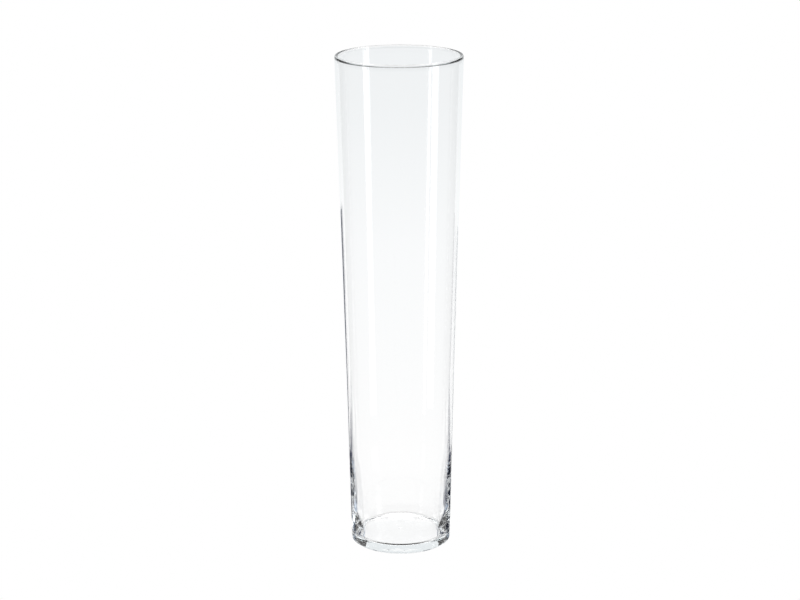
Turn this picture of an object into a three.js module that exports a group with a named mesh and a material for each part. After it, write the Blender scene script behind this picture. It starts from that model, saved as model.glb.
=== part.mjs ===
// A tall clear glass vase, blown in one piece. A thin wall opens gently upwards to a
// fire-polished rim, and thickens below into a heavy solid base with a shallow hollow
// under it, so that the vase stands on a ring.
//
// Millimetres, +Z up. The origin is the centre of the plane that the vase stands on.

import * as THREE from 'three';

// Outside
const HEIGHT = 700;
const FOOT_RADIUS = 70.6; // where the side would meet the standing plane
const RIM_RADIUS = 88;
const WAIST_INSET = 0.4; // how far the side draws in, at mid-height, from a straight cone
const HEEL_RADIUS = 3; // rounding between the underside and the side

// Wall and rim
const WALL = 3;
const RIM_THICKNESS = 4.8; // full thickness of the rounded lip
const RIM_GATHER_LENGTH = 2.2; // length over which the wall grows to the lip's thickness

// Heavy base
const FLOOR_HEIGHT = 9.3; // inside floor above the standing plane
const FLOOR_CORNER_RADIUS = 6; // rounding between the floor and the inside wall
const BASE_WALL = 7.3; // wall thickness up to BASE_LOW
const BASE_LOW = 40; // height where the wall starts to thin
const BASE_TOP = 135; // height where it has thinned to WALL
const FOOT_GATHER = 4; // extra wall thickness at the floor
const FOOT_GATHER_TOP = 50; // height where this has thinned to nothing

// Underside
const HOLLOW_RADIUS = 52;
const HOLLOW_DEPTH = 0.6;

// Fineness of the mesh
const AROUND = 72;
const SIDE_STEPS = 8;
const THIN_WALL_STEPS = 6;
const THICK_WALL_STEPS = 14;
const RIM_STEPS = 8;
const GATHER_STEPS = 4;
const CORNER_STEPS = 4;
const HOLLOW_STEPS = 4;

const RIM_LIP_RADIUS = RIM_THICKNESS / 2;
const RIM_LIP_HEIGHT = HEIGHT - RIM_LIP_RADIUS; // height of the lip's centre line

function outerRadius(z) {
  const t = z / HEIGHT;
  const cone = THREE.MathUtils.lerp(FOOT_RADIUS, RIM_RADIUS, t);
  return cone - 4 * WAIST_INSET * t * (1 - t);
}

function wallThickness(z) {
  const foot = 1 - THREE.MathUtils.smoothstep(z, FLOOR_HEIGHT, FOOT_GATHER_TOP);
  const base = 1 - THREE.MathUtils.smoothstep(z, BASE_LOW, BASE_TOP);
  const rim = THREE.MathUtils.smoothstep(z, RIM_LIP_HEIGHT - RIM_GATHER_LENGTH, RIM_LIP_HEIGHT);
  return WALL + FOOT_GATHER * foot + (BASE_WALL - WALL) * base + (RIM_THICKNESS - WALL) * rim;
}

function innerRadius(z) {
  return outerRadius(z) - wallThickness(z);
}

// Profile points are (radius, height). A stretch leaves out its own last point, because
// the next stretch starts there.
function stretch(steps, pointAt) {
  return Array.from({ length: steps }, (_, i) => pointAt(i / steps));
}

function side(radiusAt, fromZ, toZ, steps) {
  return stretch(steps, (t) => {
    const z = THREE.MathUtils.lerp(fromZ, toZ, t);
    return new THREE.Vector2(radiusAt(z), z);
  });
}

function arc(centreRadius, centreZ, radius, fromDegrees, toDegrees, steps) {
  return stretch(steps, (t) => {
    const angle = THREE.MathUtils.degToRad(THREE.MathUtils.lerp(fromDegrees, toDegrees, t));
    return new THREE.Vector2(
      centreRadius + radius * Math.cos(angle),
      centreZ + radius * Math.sin(angle),
    );
  });
}

function hollowUnderside() {
  return stretch(HOLLOW_STEPS, (t) => new THREE.Vector2(HOLLOW_RADIUS * t, HOLLOW_DEPTH * (1 - t * t)));
}

// The section of the glass, from the middle of the underside, out and up the outside,
// over the rim, down the inside and back to the axis at the middle of the floor.
function glassSection() {
  const heelCentre = outerRadius(HEEL_RADIUS) - HEEL_RADIUS;
  const gatherStart = RIM_LIP_HEIGHT - RIM_GATHER_LENGTH;
  const cornerHeight = FLOOR_HEIGHT + FLOOR_CORNER_RADIUS;
  const cornerCentre = innerRadius(cornerHeight) - FLOOR_CORNER_RADIUS;
  const rimCentre = outerRadius(RIM_LIP_HEIGHT) - RIM_LIP_RADIUS;

  return [
    ...hollowUnderside(),
    new THREE.Vector2(HOLLOW_RADIUS, 0),
    ...arc(heelCentre, HEEL_RADIUS, HEEL_RADIUS, -90, 0, CORNER_STEPS),
    ...side(outerRadius, HEEL_RADIUS, RIM_LIP_HEIGHT, SIDE_STEPS),
    ...arc(rimCentre, RIM_LIP_HEIGHT, RIM_LIP_RADIUS, 0, 180, RIM_STEPS),
    ...side(innerRadius, RIM_LIP_HEIGHT, gatherStart, GATHER_STEPS),
    ...side(innerRadius, gatherStart, BASE_TOP, THIN_WALL_STEPS),
    ...side(innerRadius, BASE_TOP, cornerHeight, THICK_WALL_STEPS),
    ...arc(cornerCentre, cornerHeight, FLOOR_CORNER_RADIUS, 0, -90, CORNER_STEPS),
    new THREE.Vector2(cornerCentre, FLOOR_HEIGHT),
    new THREE.Vector2(0, FLOOR_HEIGHT),
  ];
}

function vaseBody() {
  const geometry = new THREE.LatheGeometry(glassSection(), AROUND);
  geometry.rotateX(Math.PI / 2); // the lathe turns about +Y

  const clearGlass = new THREE.MeshStandardMaterial({
    color: 0xeaf1f1,
    roughness: 0.03,
    metalness: 0,
    transparent: true,
    opacity: 0.35,
  });

  const mesh = new THREE.Mesh(geometry, clearGlass);
  mesh.name = 'vase_body';
  return mesh;
}

const vase = new THREE.Group();
vase.add(vaseBody());

export default vase;
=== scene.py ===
"""A tall clear vase of blown glass: a thin wall that opens gently upwards to a rounded,
fire-polished rim, and thickens below into a heavy base with a shallow hollow under it.

Metres, +Z up. The vase stands on z = 0, with its axis on the Z axis.
"""

import math

import bmesh
import bpy
from mathutils import Matrix, Vector, noise


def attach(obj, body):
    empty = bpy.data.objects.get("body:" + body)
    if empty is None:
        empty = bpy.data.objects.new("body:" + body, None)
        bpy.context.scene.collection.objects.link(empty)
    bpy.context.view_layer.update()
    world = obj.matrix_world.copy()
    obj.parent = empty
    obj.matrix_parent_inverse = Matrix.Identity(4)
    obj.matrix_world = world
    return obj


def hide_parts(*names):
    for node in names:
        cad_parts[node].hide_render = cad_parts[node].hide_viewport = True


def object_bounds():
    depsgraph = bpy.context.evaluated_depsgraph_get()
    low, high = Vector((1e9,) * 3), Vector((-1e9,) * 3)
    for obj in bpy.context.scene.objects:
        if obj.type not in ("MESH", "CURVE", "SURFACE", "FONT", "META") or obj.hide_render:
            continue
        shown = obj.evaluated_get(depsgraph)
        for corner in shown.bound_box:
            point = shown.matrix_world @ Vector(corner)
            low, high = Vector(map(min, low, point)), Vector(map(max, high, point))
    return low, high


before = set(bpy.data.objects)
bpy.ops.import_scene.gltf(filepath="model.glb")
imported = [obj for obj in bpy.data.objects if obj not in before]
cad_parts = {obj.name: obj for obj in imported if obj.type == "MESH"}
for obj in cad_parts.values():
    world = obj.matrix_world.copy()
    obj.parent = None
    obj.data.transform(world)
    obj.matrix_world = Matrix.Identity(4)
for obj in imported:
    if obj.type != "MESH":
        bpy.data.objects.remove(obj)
CAD_LOW, CAD_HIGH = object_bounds()

MM = 0.001

# ---------------------------------------------------------------- the vase's dimensions

HEIGHT = CAD_HIGH.z
FOOT_RADIUS = 70.6 * MM  # where the side would meet the standing plane
RIM_RADIUS = 88 * MM
WAIST_INSET = 0.4 * MM  # how far the side draws in, at mid-height, from a straight cone
HEEL_RADIUS = 3 * MM

WALL = 3 * MM
RIM_THICKNESS = 4.8 * MM
RIM_LIP_RADIUS = RIM_THICKNESS / 2
RIM_LIP_HEIGHT = HEIGHT - RIM_LIP_RADIUS
RIM_GATHER_LENGTH = 2.2 * MM  # length over which the wall grows to the rim's thickness

FLOOR_HEIGHT = 9.3 * MM
FLOOR_CORNER_RADIUS = 6 * MM
BASE_WALL = 7.3 * MM  # wall thickness up to BASE_LOW
BASE_LOW = 40 * MM
BASE_TOP = 135 * MM  # height where it has thinned to WALL
FOOT_GATHER = 4 * MM  # extra wall thickness at the floor
FOOT_GATHER_TOP = 50 * MM

HOLLOW_RADIUS = 52 * MM
HOLLOW_DEPTH = 0.6 * MM
PONTIL_RADIUS = 4 * MM
PONTIL_DEPTH = 0.25 * MM

# The unevenness of hand-blown glass, on the inside only.
CORD_DEPTH = 0.05 * MM
CORD_WIDTH = 9 * MM
CORD_LENGTH = 540 * MM
SWIRL_DEPTH = 0.035 * MM
SWIRL_SIZE = 6 * MM
SWIRL_TURN = 9.0  # radians of turn in a metre of height
FLOOR_RIPPLE = 0.10 * MM

# Fineness of the mesh
AROUND = 288
PONTIL_STEPS = 5
UNDERSIDE_STEPS = 16
HEEL_STEPS = 10
SIDE_STEPS = 100
RIM_STEPS = 20
GATHER_STEPS = 10
THIN_WALL_STEPS = 70
THICK_WALL_STEPS = 60
CORNER_STEPS = 14
FLOOR_STEPS = 24
INNERMOST_RING = PONTIL_RADIUS / 4
NEAR_AXIS = 1e-6


def smoothstep(x, low, high):
    t = min(1.0, max(0.0, (x - low) / (high - low)))
    return t * t * (3 - 2 * t)


def outer_radius(z):
    t = z / HEIGHT
    cone = FOOT_RADIUS + (RIM_RADIUS - FOOT_RADIUS) * t
    return cone - 4 * WAIST_INSET * t * (1 - t)


def wall_thickness(z):
    foot = 1 - smoothstep(z, FLOOR_HEIGHT, FOOT_GATHER_TOP)
    base = 1 - smoothstep(z, BASE_LOW, BASE_TOP)
    rim = smoothstep(z, RIM_LIP_HEIGHT - RIM_GATHER_LENGTH, RIM_LIP_HEIGHT)
    return WALL + FOOT_GATHER * foot + (BASE_WALL - WALL) * base + (RIM_THICKNESS - WALL) * rim


def inner_radius(z):
    return outer_radius(z) - wall_thickness(z)


# ---------------------------------------------------------------- the section of the glass

# A section point is (radius, height). Each stretch leaves out its own last point, because
# the next stretch starts there.


def side(radius_at, from_z, to_z, steps):
    heights = [from_z + (to_z - from_z) * i / steps for i in range(steps)]
    return [(radius_at(z), z) for z in heights]


def arc(centre_r, centre_z, radius, from_degrees, to_degrees, steps):
    points = []
    for i in range(steps):
        angle = math.radians(from_degrees + (to_degrees - from_degrees) * i / steps)
        points.append((centre_r + radius * math.cos(angle), centre_z + radius * math.sin(angle)))
    return points


def flat(z_at, from_r, to_r, steps):
    radii = [from_r + (to_r - from_r) * i / steps for i in range(steps)]
    return [(r, z_at(r)) for r in radii]


def underside(r):
    hollow = HOLLOW_DEPTH * max(0.0, 1 - (r / HOLLOW_RADIUS) ** 2)
    pontil = PONTIL_DEPTH * (1 - smoothstep(r, PONTIL_RADIUS / 2, PONTIL_RADIUS))
    return hollow + pontil


def floor(r):
    return FLOOR_HEIGHT


def outside_section():
    """From beside the middle of the underside, out, up the outside and over the rim."""
    heel_centre = outer_radius(HEEL_RADIUS) - HEEL_RADIUS
    rim_centre = outer_radius(RIM_LIP_HEIGHT) - RIM_LIP_RADIUS
    return [
        *flat(underside, INNERMOST_RING, PONTIL_RADIUS, PONTIL_STEPS),
        *flat(underside, PONTIL_RADIUS, heel_centre, UNDERSIDE_STEPS),
        *arc(heel_centre, HEEL_RADIUS, HEEL_RADIUS, -90, 0, HEEL_STEPS),
        *side(outer_radius, HEEL_RADIUS, RIM_LIP_HEIGHT, SIDE_STEPS),
        *arc(rim_centre, RIM_LIP_HEIGHT, RIM_LIP_RADIUS, 0, 180, RIM_STEPS),
    ]


def inside_section():
    """From the rim down the inside, and over the floor to beside its middle."""
    gather_start = RIM_LIP_HEIGHT - RIM_GATHER_LENGTH
    corner_height = FLOOR_HEIGHT + FLOOR_CORNER_RADIUS
    corner_centre = inner_radius(corner_height) - FLOOR_CORNER_RADIUS
    return [
        *side(inner_radius, RIM_LIP_HEIGHT, gather_start, GATHER_STEPS),
        *side(inner_radius, gather_start, BASE_TOP, THIN_WALL_STEPS),
        *side(inner_radius, BASE_TOP, corner_height, THICK_WALL_STEPS),
        *arc(corner_centre, corner_height, FLOOR_CORNER_RADIUS, 0, -90, CORNER_STEPS),
        *flat(floor, corner_centre, INNERMOST_RING, FLOOR_STEPS),
        (INNERMOST_RING, FLOOR_HEIGHT),
    ]


# ---------------------------------------------------------------- the mesh


def cords(angle, z):
    """Long upright streaks where the wall is a hair thicker or thinner."""
    around = outer_radius(z) / CORD_WIDTH
    place = Vector((around * math.cos(angle), around * math.sin(angle), z / CORD_LENGTH))
    return CORD_DEPTH * noise.noise(place)


def swirl(angle, z):
    """Slanting ripples in the thick glass of the base."""
    turned = angle + SWIRL_TURN * z
    around = outer_radius(z) / SWIRL_SIZE
    place = Vector((around * math.cos(turned), around * math.sin(turned), z / SWIRL_SIZE))
    return SWIRL_DEPTH * noise.noise(place) * (1 - smoothstep(z, BASE_LOW, BASE_TOP))


def inside_point(r, z, angle):
    across = Vector((r * math.cos(angle), r * math.sin(angle), 0))
    on_wall = smoothstep(z, FLOOR_HEIGHT, FLOOR_HEIGHT + FLOOR_CORNER_RADIUS)
    below_rim = 1 - smoothstep(z, RIM_LIP_HEIGHT - 3 * RIM_GATHER_LENGTH, RIM_LIP_HEIGHT)
    outwards = (cords(angle, z) + swirl(angle, z)) * on_wall * below_rim
    upwards = FLOOR_RIPPLE * noise.noise(across / SWIRL_SIZE) * (1 - on_wall)
    return across * (1 + outwards / r) + Vector((0, 0, z + upwards))


def outside_point(r, z, angle):
    return Vector((r * math.cos(angle), r * math.sin(angle), z))


def glass_mesh():
    mesh = bmesh.new()
    turn = [2 * math.pi * i / AROUND for i in range(AROUND)]
    rings = []
    for section, point in ((outside_section(), outside_point), (inside_section(), inside_point)):
        for r, z in section:
            rings.append([mesh.verts.new(point(r, z, angle)) for angle in turn])
    for ring, following in zip(rings, rings[1:]):
        for i in range(AROUND):
            j = (i + 1) % AROUND
            mesh.faces.new((ring[i], ring[j], following[j], following[i]))
    underside_middle = mesh.verts.new((0, 0, underside(0)))
    floor_middle = mesh.verts.new(inside_point(NEAR_AXIS, FLOOR_HEIGHT, 0))
    for i in range(AROUND):
        j = (i + 1) % AROUND
        mesh.faces.new((rings[0][j], rings[0][i], underside_middle))
        mesh.faces.new((rings[-1][i], rings[-1][j], floor_middle))
    bmesh.ops.recalc_face_normals(mesh, faces=mesh.faces)
    for face in mesh.faces:
        face.smooth = True
    data = bpy.data.meshes.new("glass_vase")
    mesh.to_mesh(data)
    mesh.free()
    return data


# ---------------------------------------------------------------- materials

GLASS_IOR = 1.5
GLASS_TINT = (0.80, 0.90, 0.93, 1.0)
TINT_DENSITY = 1.5  # per metre of glass

WIPE_MARK_SCALE = 22
WIPE_MARK_DETAIL = 4
WIPE_MARK_START, WIPE_MARK_FULL = 0.55, 0.75  # levels of the noise
WIPE_MARK_ROUGHNESS = 0.035

WORN_FULL_HEIGHT = 0.05 * MM
WORN_TOP = 0.3 * MM
WORN_ROUGHNESS = 0.04

RIPPLE_SCALE = 30
RIPPLE_DETAIL = 1
RIPPLE_HEIGHT = 0.03 * MM


def new_material(name):
    material = bpy.data.materials.new(name)
    material.use_nodes = True
    material.node_tree.nodes.clear()
    return material, material.node_tree


def noise_texture(tree, place, scale, detail):
    texture = tree.nodes.new("ShaderNodeTexNoise")
    texture.inputs["Scale"].default_value = scale
    texture.inputs["Detail"].default_value = detail
    tree.links.new(place, texture.inputs["Vector"])
    return texture.outputs["Fac"]


def map_range(tree, value, from_min, from_max, to_min, to_max, interpolation="SMOOTHSTEP"):
    ramp = tree.nodes.new("ShaderNodeMapRange")
    ramp.interpolation_type = interpolation
    ramp.inputs["From Min"].default_value = from_min
    ramp.inputs["From Max"].default_value = from_max
    ramp.inputs["To Min"].default_value = to_min
    ramp.inputs["To Max"].default_value = to_max
    tree.links.new(value, ramp.inputs["Value"])
    return ramp.outputs["Result"]


def larger(tree, a, b):
    pick = tree.nodes.new("ShaderNodeMath")
    pick.operation = "MAXIMUM"
    tree.links.new(a, pick.inputs[0])
    tree.links.new(b, pick.inputs[1])
    return pick.outputs["Value"]


def height_of(tree, place):
    split = tree.nodes.new("ShaderNodeSeparateXYZ")
    tree.links.new(place, split.inputs["Vector"])
    return split.outputs["Z"]


def glass_roughness(tree, place):
    """A few wipe marks, and a foot ring dulled by use."""
    streaks = noise_texture(tree, place, WIPE_MARK_SCALE, WIPE_MARK_DETAIL)
    wipe_marks = map_range(
        tree, streaks, WIPE_MARK_START, WIPE_MARK_FULL, 0.0, WIPE_MARK_ROUGHNESS
    )
    worn_foot = map_range(
        tree, height_of(tree, place), WORN_FULL_HEIGHT, WORN_TOP, WORN_ROUGHNESS, 0.0
    )
    return larger(tree, wipe_marks, worn_foot)


def clear_glass():
    material, tree = new_material("clear_glass")
    nodes, links = tree.nodes, tree.links
    output = nodes.new("ShaderNodeOutputMaterial")
    glass = nodes.new("ShaderNodeBsdfPrincipled")
    glass.inputs["Base Color"].default_value = (1.0, 1.0, 1.0, 1.0)
    glass.inputs["Transmission Weight"].default_value = 1.0
    glass.inputs["IOR"].default_value = GLASS_IOR
    links.new(glass.outputs["BSDF"], output.inputs["Surface"])

    place = nodes.new("ShaderNodeTexCoord").outputs["Object"]
    links.new(glass_roughness(tree, place), glass.inputs["Roughness"])

    ripple = nodes.new("ShaderNodeBump")
    ripple.inputs["Strength"].default_value = 1.0
    ripple.inputs["Distance"].default_value = RIPPLE_HEIGHT
    links.new(noise_texture(tree, place, RIPPLE_SCALE, RIPPLE_DETAIL), ripple.inputs["Height"])
    links.new(ripple.outputs["Normal"], glass.inputs["Normal"])

    absorb = nodes.new("ShaderNodeVolumeAbsorption")
    absorb.inputs["Color"].default_value = GLASS_TINT
    absorb.inputs["Density"].default_value = TINT_DENSITY
    links.new(absorb.outputs["Volume"], output.inputs["Volume"])
    return material


# ---------------------------------------------------------------- pieces


def make_vase():
    vase = bpy.data.objects.new("glass_vase", glass_mesh())
    bpy.context.scene.collection.objects.link(vase)
    vase.data.materials.append(clear_glass())
    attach(vase, "root")
    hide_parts("vase_body")
    return vase


# ---------------------------------------------------------------- camera

SENSOR_WIDTH = 36  # millimetres, as is the lens
LENS = 97.4
CAMERA_PLACE = (0, -2.92, 1.1756)
CAMERA_DOWN = 15.72  # degrees below level
CAMERA_ROLL = -0.22


def make_camera():
    data = bpy.data.cameras.new("camera")
    data.sensor_width = SENSOR_WIDTH
    data.lens = LENS
    camera = bpy.data.objects.new("camera", data)
    bpy.context.scene.collection.objects.link(camera)
    camera.matrix_world = (
        Matrix.Translation(CAMERA_PLACE)
        @ Matrix.Rotation(math.radians(90 - CAMERA_DOWN), 4, "X")
        @ Matrix.Rotation(math.radians(CAMERA_ROLL), 4, "Z")
    )
    bpy.context.scene.camera = camera
    return camera


# ---------------------------------------------------------------- the studio

# The vase stands in the middle, and the camera looks along +Y. The lights and cards are
# seen only in and through the glass. A hand is -1 for the left and 1 for the right.

FLOOR_REACH = 30

# The backdrop is a wide sheet with a narrower and taller one above it. Its glow is given
# from RAMP_LOW to RAMP_HIGH, as shares of that height.
BEHIND = 1.5
BACKDROP_HALF = 2.6
BACKDROP_LOW = -1.5
BACKDROP_SHOULDER = 0.6
BACKDROP_TOP = 1.7
BACKDROP_TOP_LEFT = 1.2
BACKDROP_TOP_RIGHT = 1.0
BACKDROP_STRENGTH = 1.03
RAMP_LOW, RAMP_HIGH = -0.5, 0.5
BACKDROP_GLOW = [
    (0.05, (0.990, 0.990, 0.990)),
    (0.55, (0.943, 0.955, 0.962)),
    (0.85, (0.865, 0.887, 0.898)),
    (1.00, (0.851, 0.873, 0.885)),
]

TOP_LIGHT_HALF = 1.0
TOP_LIGHT_LOW = 1.72
TOP_LIGHT_HIGH = 2.6
TOP_LIGHT_LEAN = 0.3
TOP_LIGHT_STRENGTH = 4.0

# Dark cards hang a little in front of the backdrop, and pale slats in front of them. A
# card is (inner side, outer side, top, bottom), with its sides as distances from the
# middle. The narrow upright cards draw the dark lines up the wall, and the wide ones the
# dark bands in the base.
CARD_GAP = 0.02
SLAT_GAP = 0.03
WIDE_EDGE = 1.75
LEFT_CARDS = [
    (0.47, 0.71, 0.11, -0.45),
    (0.46, WIDE_EDGE, -0.47, -0.62),
    (0.95, WIDE_EDGE, -0.64, -1.6),
]
RIGHT_CARDS = [
    (0.52, 0.64, 0.06, -0.45),
    (0.50, WIDE_EDGE, -0.50, -0.62),
    (0.66, WIDE_EDGE, -0.62, -0.95),
    (0.95, WIDE_EDGE, -0.95, -1.6),
]
SLAT_SLOPE = 0.25
NAVY = (0.012, 0.02, 0.06)
PALE_BLUE = (0.52, 0.63, 0.79)

SIDE_CARD_AWAY = 1.6
SIDE_CARD_NEAR, SIDE_CARD_FAR = 0.8, 1.6
SIDE_CARD_LOW, SIDE_CARD_TOP = -0.45, 0.8
GREY = (0.6, 0.6, 0.6)

# A strip light is (azimuth at its top, azimuth at its foot, half its width). Azimuths are
# in degrees round from the camera.
STRIP_AWAY = 1.2
STRIP_LOW, STRIP_TOP = -0.22, 1.3
LEFT_STRIP = (-67.5, -58.5, 0.064)
RIGHT_STRIP = (66.5, 67, 0.14)
STRIP_STRENGTH = 3.0

# The room's grey by direction, from straight down (0) through level (0.5) to straight up. Its
# dark end straight down is painted shadow: it stands for the vase's shadow on the floor beneath
# it, as seen in the glass.
ROOM_GREYS_AND_PAINTED_SHADOW = [(0.06, 0.02), (0.17, 0.85), (0.45, 0.85), (0.53, 0.02)]

BOUNCES = 32


def glow(name, colour, strength):
    material, tree = new_material(name)
    output = tree.nodes.new("ShaderNodeOutputMaterial")
    emission = tree.nodes.new("ShaderNodeEmission")
    emission.inputs["Color"].default_value = (*colour, 1.0)
    emission.inputs["Strength"].default_value = strength
    tree.links.new(emission.outputs["Emission"], output.inputs["Surface"])
    return material


def colour_ramp(tree, value, stops):
    ramp = tree.nodes.new("ShaderNodeValToRGB")
    elements = ramp.color_ramp.elements
    while len(elements) < len(stops):
        elements.new(0.5)
    for element, (position, colour) in zip(elements, stops):
        element.position = position
        element.color = (*colour, 1.0)
    tree.links.new(value, ramp.inputs["Fac"])
    return ramp.outputs["Color"]


def backdrop_glow():
    """White paper, lit from below: it dims and turns faintly blue towards the top."""
    material, tree = new_material("backdrop_glow")
    output = tree.nodes.new("ShaderNodeOutputMaterial")
    emission = tree.nodes.new("ShaderNodeEmission")
    emission.inputs["Strength"].default_value = BACKDROP_STRENGTH
    place = tree.nodes.new("ShaderNodeTexCoord").outputs["Object"]
    height = map_range(tree, height_of(tree, place), RAMP_LOW, RAMP_HIGH, 0.0, 1.0, "LINEAR")
    tree.links.new(colour_ramp(tree, height, BACKDROP_GLOW), emission.inputs["Color"])
    tree.links.new(emission.outputs["Emission"], output.inputs["Surface"])
    return material


def panel(name, corners, material):
    data = bpy.data.meshes.new(name)
    data.from_pydata(corners, [], [tuple(range(len(corners)))])
    data.materials.append(material)
    obj = bpy.data.objects.new(name, data)
    bpy.context.scene.collection.objects.link(obj)
    return obj


def make_floor():
    far = FLOOR_REACH
    corners = [(-far, -far, 0), (far, -far, 0), (far, far, 0), (-far, far, 0)]
    white_floor = panel("floor", corners, glow("floor_white", (1, 1, 1), 1.0))
    white_floor.visible_transmission = False
    white_floor.visible_glossy = False


def make_backdrop():
    outline = [
        (-BACKDROP_HALF, BACKDROP_LOW),
        (BACKDROP_HALF, BACKDROP_LOW),
        (BACKDROP_HALF, BACKDROP_SHOULDER),
        (BACKDROP_TOP_RIGHT, BACKDROP_SHOULDER),
        (BACKDROP_TOP_RIGHT, BACKDROP_TOP),
        (-BACKDROP_TOP_LEFT, BACKDROP_TOP),
        (-BACKDROP_TOP_LEFT, BACKDROP_SHOULDER),
        (-BACKDROP_HALF, BACKDROP_SHOULDER),
    ]
    return panel("backdrop", [(x, BEHIND, z) for x, z in outline], backdrop_glow())


def make_top_light():
    """A soft light just above the backdrop, leaning forward. It brightens the rim."""
    lean = BEHIND - TOP_LIGHT_LEAN
    corners = [
        (-TOP_LIGHT_HALF, BEHIND, TOP_LIGHT_LOW),
        (TOP_LIGHT_HALF, BEHIND, TOP_LIGHT_LOW),
        (TOP_LIGHT_HALF, lean, TOP_LIGHT_HIGH),
        (-TOP_LIGHT_HALF, lean, TOP_LIGHT_HIGH),
    ]
    return panel("top_light", corners, glow("top_glow", (1, 1, 1), TOP_LIGHT_STRENGTH))


def card(hand, edges, material, gap=CARD_GAP, drop=0.0):
    """A card in front of the backdrop. Its outer side hangs lower by the drop."""
    inner, outer, top, low = edges
    corners = [(inner, low), (outer, low - drop), (outer, top - drop), (inner, top)]
    return panel("card", [(hand * x, BEHIND - gap, z) for x, z in corners], material)


def slats(hand, inner, inner_step, top, low, count, share, material):
    """Slats between two heights, sloping down outwards. Each covers a share of its step,
    and starts a step further out than the one above it."""
    step = (top - low) / count
    row = []
    for i in range(count):
        start = inner + inner_step * i
        high = top - step * i
        drop = SLAT_SLOPE * (WIDE_EDGE - start)
        edges = (start, WIDE_EDGE, high, high - step * share)
        row.append(card(hand, edges, material, SLAT_GAP, drop))
    return row


def side_card(hand, material):
    """A grey card beside the vase, which shades the edges of the glass a little."""
    away = hand * SIDE_CARD_AWAY
    corners = [
        (away, SIDE_CARD_NEAR, SIDE_CARD_LOW),
        (away, SIDE_CARD_FAR, SIDE_CARD_LOW),
        (away, SIDE_CARD_FAR, SIDE_CARD_TOP),
        (away, SIDE_CARD_NEAR, SIDE_CARD_TOP),
    ]
    return panel("side_card", corners, material)


def make_cards():
    navy = glow("dark_card", NAVY, 1.0)
    pale = glow("pale_slat", PALE_BLUE, 1.0)
    grey = glow("side_card", GREY, 1.0)
    left_slats = dict(inner=0.74, inner_step=0.0, top=-0.61, low=-0.86, count=5, share=0.75)
    right_slats = dict(inner=0.66, inner_step=0.04, top=-0.64, low=-0.84, count=3, share=0.4)
    return [
        *[card(-1, edges, navy) for edges in LEFT_CARDS],
        *slats(-1, **left_slats, material=pale),
        *[card(1, edges, navy) for edges in RIGHT_CARDS],
        *slats(1, **right_slats, material=pale),
        side_card(-1, grey),
        side_card(1, grey),
    ]


def strip_light(top_azimuth, low_azimuth, half_width, material):
    """An upright strip light in front and to one side, facing the vase."""
    corners = []
    for azimuth, z in ((low_azimuth, STRIP_LOW), (top_azimuth, STRIP_TOP)):
        angle = math.radians(azimuth)
        outwards = Vector((math.sin(angle), -math.cos(angle), 0))
        across = Vector((-outwards.y, outwards.x, 0))
        for hand in (-1, 1):
            along = across * half_width * hand
            corners.append(outwards * STRIP_AWAY + along + Vector((0, 0, z)))
    left_low, right_low, left_top, right_top = corners
    return panel("strip_light", [left_low, right_low, right_top, left_top], material)


def hide_from_camera(obj):
    obj.visible_camera = False
    obj.visible_shadow = False
    obj.visible_diffuse = False


def follow(obj, camera):
    bpy.context.view_layer.update()
    obj.parent = camera
    obj.matrix_parent_inverse = camera.matrix_world.inverted()


def make_room():
    """Seen by the camera, the room is white. In the glass it is dark overhead, dark straight
    below as a painted shadow of the vase on the floor, and pale in between."""
    world = bpy.data.worlds.new("studio")
    bpy.context.scene.world = world
    world.use_nodes = True
    tree = world.node_tree
    tree.nodes.clear()
    output = tree.nodes.new("ShaderNodeOutputWorld")
    mix = tree.nodes.new("ShaderNodeMixShader")
    path = tree.nodes.new("ShaderNodeLightPath")
    room = tree.nodes.new("ShaderNodeBackground")
    white = tree.nodes.new("ShaderNodeBackground")
    white.inputs["Color"].default_value = (1, 1, 1, 1)
    direction = tree.nodes.new("ShaderNodeTexCoord").outputs["Generated"]
    height = map_range(tree, height_of(tree, direction), -1.0, 1.0, 0.0, 1.0, "LINEAR")
    # The room's greys by direction; their dark end straight down is a painted shadow of the vase
    # on the floor.
    stops = [(position, (grey, grey, grey)) for position, grey in ROOM_GREYS_AND_PAINTED_SHADOW]
    tree.links.new(colour_ramp(tree, height, stops), room.inputs["Color"])
    tree.links.new(path.outputs["Is Camera Ray"], mix.inputs["Fac"])
    tree.links.new(room.outputs["Background"], mix.inputs[1])
    tree.links.new(white.outputs["Background"], mix.inputs[2])
    tree.links.new(mix.outputs["Shader"], output.inputs["Surface"])


def make_studio(camera):
    """The lights and cards are fixed to the camera, as if the vase stood on a turntable."""
    make_floor()
    light = glow("strip_glow", (1, 1, 1), STRIP_STRENGTH)
    rig = [
        make_backdrop(),
        make_top_light(),
        *make_cards(),
        strip_light(*LEFT_STRIP, light),
        strip_light(*RIGHT_STRIP, light),
    ]
    for obj in rig:
        hide_from_camera(obj)
        follow(obj, camera)
    make_room()

    scene = bpy.context.scene
    scene.view_settings.view_transform = "Standard"
    scene.cycles.max_bounces = BOUNCES
    scene.cycles.transmission_bounces = BOUNCES
    scene.cycles.glossy_bounces = BOUNCES
    scene.cycles.blur_glossy = 0.0


camera = make_camera()
make_vase()
make_studio(camera)
